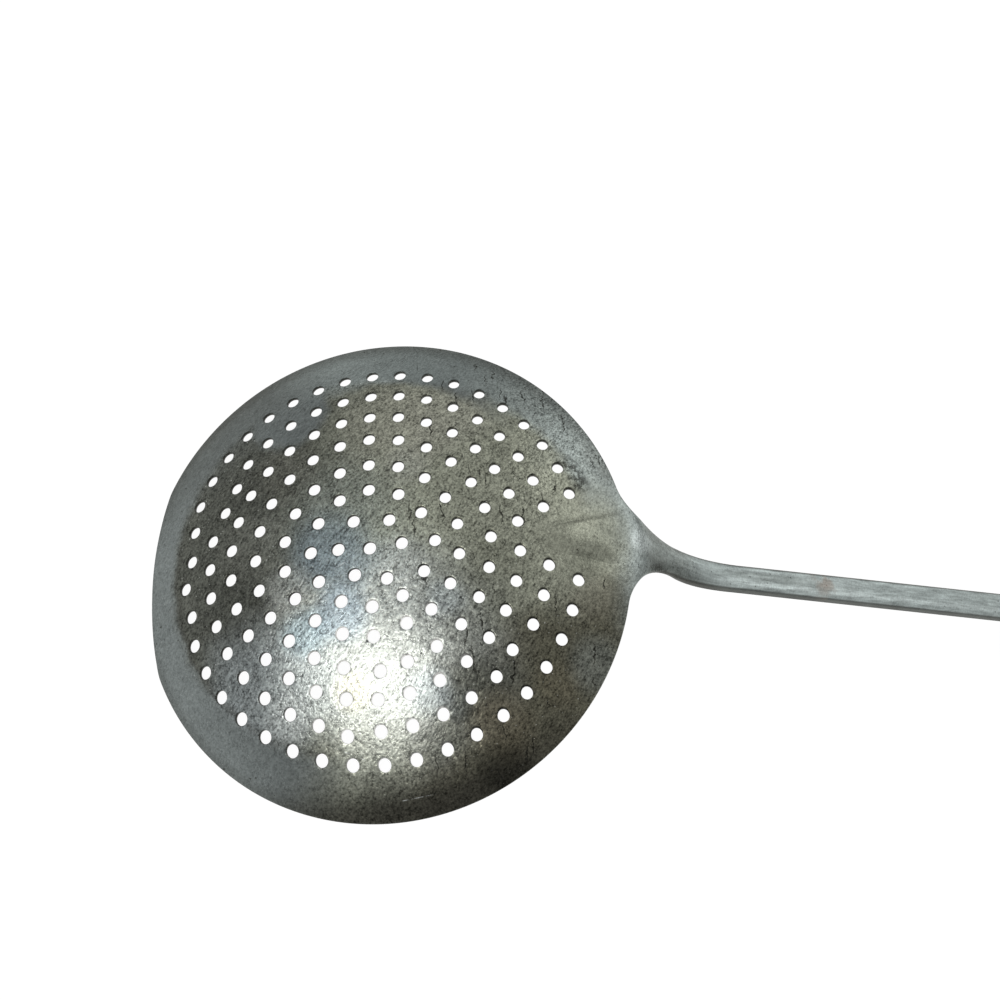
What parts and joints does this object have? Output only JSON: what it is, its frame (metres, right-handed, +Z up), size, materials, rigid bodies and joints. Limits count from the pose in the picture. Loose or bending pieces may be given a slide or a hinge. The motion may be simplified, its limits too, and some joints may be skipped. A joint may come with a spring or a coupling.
{
  "type": "kitchen skimmer",
  "caption": "Old cast aluminium kitchen skimmer: a shallow bowl pierced with rings of drain holes, a plain worn edge, a short root rib and a long bar handle ending in a hanging eye.",
  "frame": {"origin": "on the table under the middle of the skimmer's box, as it lies hollow side down on its worn edge and its hanging eye", "axes": "+X along the handle from the bowl to the hanging eye, +Z up from the table, +Y to the left of the handle"},
  "size_m": [0.3504, 0.12, 0.0547],
  "materials": {
    "cast_aluminium": "cast aluminium, dull grey with a mottled stain",
    "worn_aluminium": "cast aluminium, rubbed smooth and lighter",
    "stained_aluminium": "cast aluminium, stained olive brown"
  },
  "bodies": {
    "root": {"strainer": "cast_aluminium", "rim": "worn_aluminium", "root_rib": "stained_aluminium", "web": "worn_aluminium", "neck": "worn_aluminium", "shank": "cast_aluminium", "hanging_eye": "cast_aluminium"}
  },
  "joints": []
}
